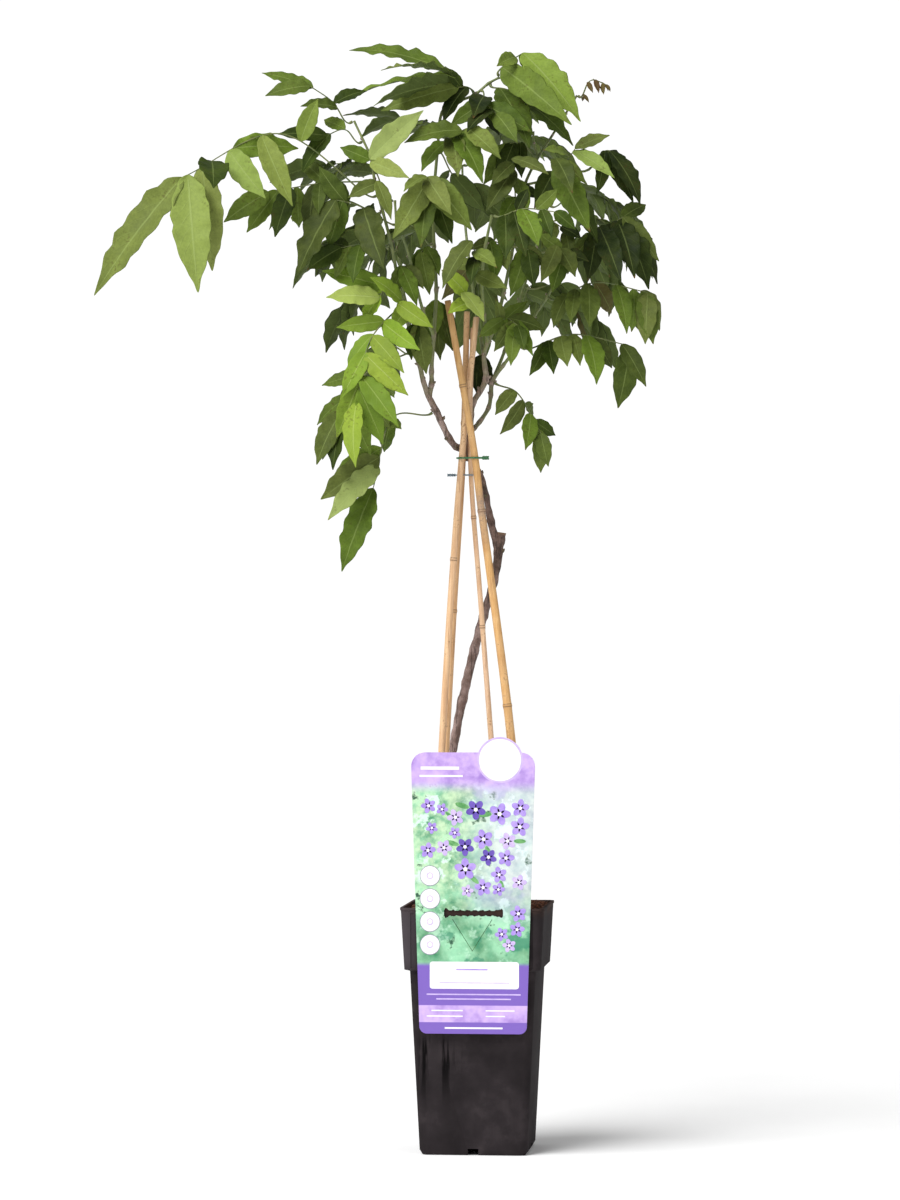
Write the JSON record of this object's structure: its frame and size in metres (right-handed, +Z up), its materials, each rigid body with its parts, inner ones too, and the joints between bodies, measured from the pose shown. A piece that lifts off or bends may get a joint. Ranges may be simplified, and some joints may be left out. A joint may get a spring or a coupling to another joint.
{
  "type": "potted wisteria",
  "caption": "Young wisteria with pinnate leaves, its grafted stem wired to bamboo canes in a tall square nursery pot with a hanging plant tag.",
  "frame": {"origin": "middle of the pot's underside, on the surface the pot stands on", "axes": "+Z up along the stem; the pot is square to X and Y, with the plant tag on its -Y side"},
  "size_m": [0.4594, 0.352, 0.9295],
  "materials": {
    "pot_plastic": "satin",
    "potting_soil": "matte",
    "tag_plastic": "gloss",
    "bamboo": "satin",
    "bark": "matte",
    "tie_wire": "satin",
    "leaf": "satin",
    "leaf_young": "satin"
  },
  "bodies": {
    "root": {"pot": "pot_plastic", "soil": "potting_soil", "tag": "tag_plastic", "cane_front": "bamboo", "cane_left": "bamboo", "cane_left_back": "bamboo", "cane_thin": "bamboo", "woody_stem": "bark", "wire_tie": "tie_wire", "lower_wire_tie": "tie_wire", "long_left": "leaf", "left_twig": "leaf", "left_tip": "leaf", "left_yellow": "leaf_young", "top_left": "leaf", "top_right": "leaf", "top_crown": "leaf", "young_tip": "leaf", "right_small": "leaf", "right_dark": "leaf", "right_a": "leaf", "right_b": "leaf", "right_c": "leaf", "low_right": "leaf", "bright_front": "leaf_young", "low_left": "leaf", "behind_left": "leaf", "left_light": "leaf_young", "left_b": "leaf", "left_c": "leaf", "left_d": "leaf", "front_right": "leaf", "front_low": "leaf", "front_bright": "leaf_young", "front_left": "leaf_young", "centre_top": "leaf", "top_dark": "leaf", "centre_low": "leaf", "centre_left": "leaf", "centre_right": "leaf", "right_centre": "leaf", "right_low": "leaf", "right_shade": "leaf", "back_1": "leaf", "back_2": "leaf", "back_3": "leaf", "back_4": "leaf", "back_5": "leaf", "back_6": "leaf", "back_7": "leaf", "back_8": "leaf", "back_9": "leaf", "back_10": "leaf", "back_11": "leaf", "back_12": "leaf", "back_13": "leaf", "side_left": "leaf", "side_right": "leaf", "inner_top": "leaf", "inner_left": "leaf"}
  },
  "joints": []
}
